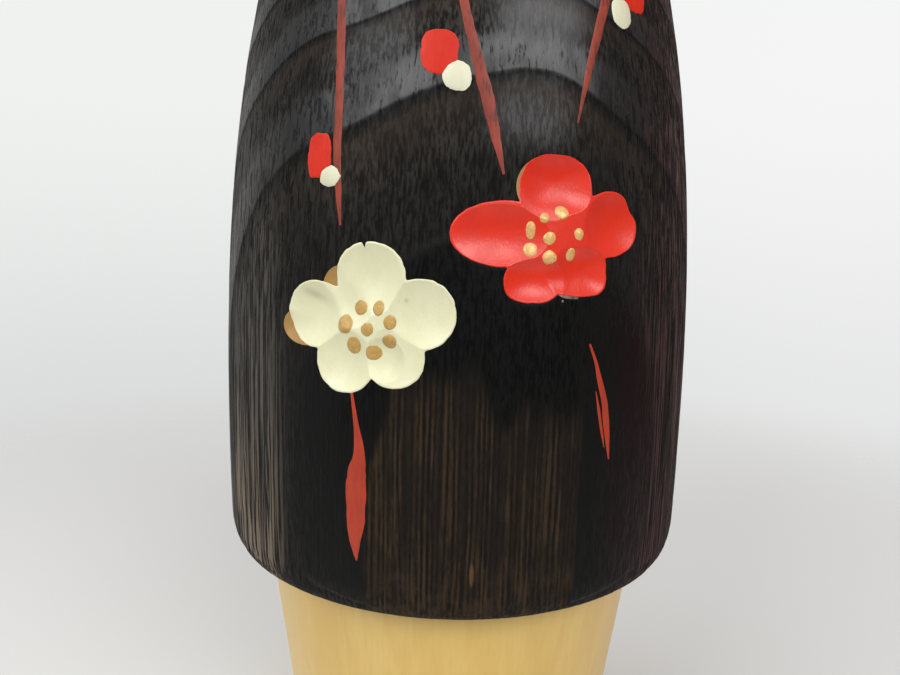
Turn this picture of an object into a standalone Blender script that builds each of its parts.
"""A creative (sosaku) kokeshi doll, turned in wood, in metres, standing on the plane z = 0 and facing -Y.

A pale tapered foot carries a scorched barrel body, held by a glued dowel. A second dowel, glued into
the shoulder, is the neck peg that the ball head turns on. Two plum blossoms are gouged into the front
of the body, one shallow dish for each petal.
"""

from math import cos, pi, radians, sin, sqrt

import bmesh
import bpy
from mathutils import Euler, Vector

MM = 0.001
FIT = 0.3 * MM  # the glue line or running gap between two pieces that touch

# Driving dimensions
BODY_RADIUS = 50 * MM  # at the widest ring of the barrel
FOOT_HEIGHT = 62 * MM  # from the table to the body's underside
BODY_HEIGHT = 156 * MM
HEAD_RADIUS = 40 * MM
HEAD_HEIGHT = 71 * MM

# The barrel's outline is one superellipse, cut off at the underside and at the shoulder.
BARREL_WAIST = FOOT_HEIGHT + 0.5 * BODY_RADIUS  # height of the widest ring
BARREL_REACH = 2.856 * BODY_RADIUS  # half height of the whole superellipse
BARREL_POWER = 2.3
RIM_RADIUS = 0.946 * BODY_RADIUS  # edge of the underside
RIM_ROUND = 6 * MM  # height of the round above that edge
SEAT_RADIUS = 20.5 * MM  # the flat on the shoulder that the head rests on
SEAT_ROUND = 2.5 * MM

FOOT_TOP_RADIUS = 0.842 * BODY_RADIUS
FOOT_BOTTOM_RADIUS = 0.674 * BODY_RADIUS
FOOT_CHAMFER = 1 * MM
FOOT_RECESS_RADIUS = 22 * MM  # the underside is hollowed a little, so that the doll stands on a ring
FOOT_RECESS_DEPTH = 1.5 * MM

DOWEL_CHAMFER = 1 * MM
FOOT_DOWEL_RADIUS = 8 * MM
FOOT_DOWEL_IN_FOOT = 18 * MM
FOOT_DOWEL_IN_BODY = 22 * MM
NECK_DOWEL_RADIUS = 7 * MM
NECK_DOWEL_IN_BODY = 24 * MM
NECK_DOWEL_IN_HEAD = 24 * MM

HEAD_POWER = 2.15
HEAD_SEAT_RADIUS = 16 * MM
HEAD_SEAT_CHAMFER = 1 * MM

BODY_TOP = FOOT_HEIGHT + BODY_HEIGHT
HEAD_BOTTOM = BODY_TOP + FIT

SEGMENTS = 64
HEAD_SEGMENTS = 48
DOWEL_SEGMENTS = 24

# Each blossom has its centre as a bearing in degrees, from the front towards +X, and a height above
# the body's underside. Its petals are (across, up, half width, half height) in millimetres from there.
PETAL_DEPTH = 1.3 * MM
GOUGE_RADIUS = 14 * MM  # how far the cutter stands out from the dish
BLOSSOMS = {
    "white": {
        "bearing": -17.5,
        "height": 50.5 * MM,
        "petals": [(0.2, 8.2, 5.8, 5.8), (9, 2.8, 5.7, 5.7), (4.9, -4.2, 5, 5), (-4.1, -5.6, 5.3, 5.3),
                   (-10.1, 1.4, 6, 6)],
    },
    "red": {
        "bearing": 17,
        "height": 66 * MM,
        "petals": [(1.2, 7.2, 6.4, 6.2), (12, 2.2, 5.8, 5.6), (7, -4.9, 4.7, 4.7), (-2.6, -5.6, 5, 5),
                   (-9, 1, 7.2, 4.9)],
    },
}


def clear_scene():
    for thing in list(bpy.data.objects):
        bpy.data.objects.remove(thing, do_unlink=True)


def make_material(name, colour, roughness):
    material = bpy.data.materials.new(name)
    material.use_nodes = True
    shader = material.node_tree.nodes["Principled BSDF"]
    shader.inputs["Base Color"].default_value = (*colour, 1)
    shader.inputs["Roughness"].default_value = roughness
    shader.inputs["Metallic"].default_value = 0
    material.diffuse_color = (*colour, 1)
    return material


def superellipse(across, height, power):
    """The radius at this height, both from the centre and as parts of the half sizes."""
    return across * (1 - min(abs(height), 1) ** power) ** (1 / power)


def barrel_radius(z):
    radius = superellipse(BODY_RADIUS, (z - BARREL_WAIST) / BARREL_REACH, BARREL_POWER)
    above_rim = (z - FOOT_HEIGHT) / RIM_ROUND
    if above_rim < 1:
        radius = RIM_RADIUS + (radius - RIM_RADIUS) * sqrt(max(0, 1 - (1 - above_rim) ** 2))
    return radius


def barrel_tilt(z):
    """How far the barrel's surface leans back from upright at this height, in radians."""
    step = 0.5 * MM
    return (barrel_radius(z - step) - barrel_radius(z + step)) / (2 * step)


def steps(first, last, count):
    return [first + (last - first) * i / count for i in range(count + 1)]


def turned(name, outline, segments, material):
    """A closed solid turned about the Z axis. The outline is (radius, height) points that start and
    end on the axis."""
    mesh = bpy.data.meshes.new(name)
    work = bmesh.new()
    points = [work.verts.new((radius, 0, height)) for radius, height in outline]
    edges = [work.edges.new(pair) for pair in zip(points, points[1:])]
    bmesh.ops.spin(work, geom=points + edges, cent=(0, 0, 0), axis=(0, 0, 1), angle=2 * pi,
                   steps=segments, use_merge=True)
    bmesh.ops.remove_doubles(work, verts=work.verts, dist=0.01 * MM)
    bmesh.ops.recalc_face_normals(work, faces=work.faces)
    work.to_mesh(mesh)
    work.free()
    mesh.shade_smooth()
    mesh.set_sharp_from_angle(angle=radians(35))
    mesh.materials.append(material)
    part = bpy.data.objects.new(name, mesh)
    bpy.context.scene.collection.objects.link(part)
    return part


def bore(radius, mouth, depth):
    """The outline of a blind hole, from its floor on the axis to its mouth."""
    floor = mouth + depth
    return [(0, floor), (radius, floor), (radius, mouth)]


def make_foot(wood):
    outline = bore(FOOT_DOWEL_RADIUS + FIT, FOOT_HEIGHT - FIT, -FOOT_DOWEL_IN_FOOT)
    outline += [
        (FOOT_TOP_RADIUS, FOOT_HEIGHT - FIT),
        (FOOT_BOTTOM_RADIUS + 0.1 * MM, FOOT_CHAMFER),
        (FOOT_BOTTOM_RADIUS - FOOT_CHAMFER, 0),
        (FOOT_RECESS_RADIUS, 0),
        (FOOT_RECESS_RADIUS - 2 * MM, FOOT_RECESS_DEPTH),
        (0, FOOT_RECESS_DEPTH),
    ]
    return turned("foot", outline, SEGMENTS, wood)


def make_dowel(name, radius, bottom, top, wood):
    outline = [
        (0, top),
        (radius - DOWEL_CHAMFER, top),
        (radius, top - DOWEL_CHAMFER),
        (radius, bottom + DOWEL_CHAMFER),
        (radius - DOWEL_CHAMFER, bottom),
        (0, bottom),
    ]
    return turned(name, outline, DOWEL_SEGMENTS, wood)


def petal_cutter(name, bearing, height, petal):
    """An ellipsoid that lies on the barrel's surface and cuts one petal's dish."""
    across, up, half_width, half_height = (value * MM for value in petal)
    centre = FOOT_HEIGHT + height
    z = centre + up
    angle = radians(bearing) + across / barrel_radius(centre)
    tilt = barrel_tilt(z)
    out = Vector((sin(angle) * cos(tilt), -cos(angle) * cos(tilt), sin(tilt)))
    surface = Vector((sin(angle) * barrel_radius(z), -cos(angle) * barrel_radius(z), z))
    # The cutter's curvature at the dish's floor, where the barrel itself curves away across it.
    curve_across = 2 * PETAL_DEPTH / half_width**2 - 1 / BODY_RADIUS
    curve_up = 2 * PETAL_DEPTH / half_height**2
    bpy.ops.mesh.primitive_uv_sphere_add(segments=28, ring_count=16, radius=GOUGE_RADIUS)
    cutter = bpy.context.active_object
    cutter.name = name
    cutter.location = surface + out * (GOUGE_RADIUS - PETAL_DEPTH)
    cutter.scale = (
        1 / sqrt(curve_across * GOUGE_RADIUS), 1, 1 / sqrt(curve_up * GOUGE_RADIUS),
    )
    cutter.rotation_euler = Euler((-tilt, 0, angle))
    cutter.hide_render = True
    cutter.display_type = "WIRE"
    return cutter


def make_body(scorched):
    outline = bore(NECK_DOWEL_RADIUS + FIT, BODY_TOP, -NECK_DOWEL_IN_BODY - FIT)
    shoulder = BODY_TOP - SEAT_ROUND
    for turn in steps(0, pi / 2, 3):
        reach = barrel_radius(shoulder) - SEAT_RADIUS
        outline.append((SEAT_RADIUS + reach * sin(turn), shoulder + SEAT_ROUND * cos(turn)))
    outline += [(barrel_radius(z), z) for z in steps(shoulder, FOOT_HEIGHT + RIM_ROUND, 22)[1:]]
    outline += [(barrel_radius(z), z) for z in steps(FOOT_HEIGHT + RIM_ROUND, FOOT_HEIGHT, 5)[1:]]
    outline += reversed(bore(FOOT_DOWEL_RADIUS + FIT, FOOT_HEIGHT, FOOT_DOWEL_IN_BODY + FIT))
    body = turned("body", outline, SEGMENTS, scorched)
    for colour, blossom in BLOSSOMS.items():
        for number, petal in enumerate(blossom["petals"], 1):
            cutter = petal_cutter(f"gouge_{colour}_{number}", blossom["bearing"], blossom["height"], petal)
            cut = body.modifiers.new(cutter.name, "BOOLEAN")
            cut.operation = "DIFFERENCE"
            cut.object = cutter
    return body


def make_head(wood):
    """A ball a little wider than it is tall, with a flat seat below. Its origin is on the neck's axis."""
    # The seat cuts the ball off below, so the whole ball reaches a little lower than the seat.
    sunk = 1 - superellipse(1, HEAD_SEAT_RADIUS / HEAD_RADIUS, HEAD_POWER)
    reach = HEAD_HEIGHT / (2 - sunk)
    centre = HEAD_BOTTOM + HEAD_HEIGHT - reach
    outline = []
    for turn in steps(0, pi, 24):
        z = centre + reach * cos(turn)
        radius = superellipse(HEAD_RADIUS, cos(turn), HEAD_POWER)
        if z > HEAD_BOTTOM + HEAD_SEAT_CHAMFER + 0.2 * MM:
            outline.append((radius, z))
    outline[0] = (0, HEAD_BOTTOM + HEAD_HEIGHT)
    outline.append((HEAD_SEAT_RADIUS + HEAD_SEAT_CHAMFER, HEAD_BOTTOM + HEAD_SEAT_CHAMFER))
    outline.append((HEAD_SEAT_RADIUS, HEAD_BOTTOM))
    outline += reversed(bore(NECK_DOWEL_RADIUS + FIT, HEAD_BOTTOM, NECK_DOWEL_IN_HEAD))
    return turned("head", outline, HEAD_SEGMENTS, wood)


def main():
    clear_scene()
    pale = make_material("pale_wood", (0.62, 0.42, 0.16), 0.42)
    scorched = make_material("scorched_wood", (0.022, 0.017, 0.014), 0.45)
    dowel = make_material("dowel_wood", (0.55, 0.38, 0.2), 0.6)
    make_foot(pale)
    make_dowel("foot_dowel", FOOT_DOWEL_RADIUS, FOOT_HEIGHT - FOOT_DOWEL_IN_FOOT,
               FOOT_HEIGHT + FOOT_DOWEL_IN_BODY, dowel)
    make_body(scorched)
    make_dowel("neck_dowel", NECK_DOWEL_RADIUS, BODY_TOP - NECK_DOWEL_IN_BODY,
               HEAD_BOTTOM + NECK_DOWEL_IN_HEAD - 1 * MM, dowel)
    make_head(pale)


main()
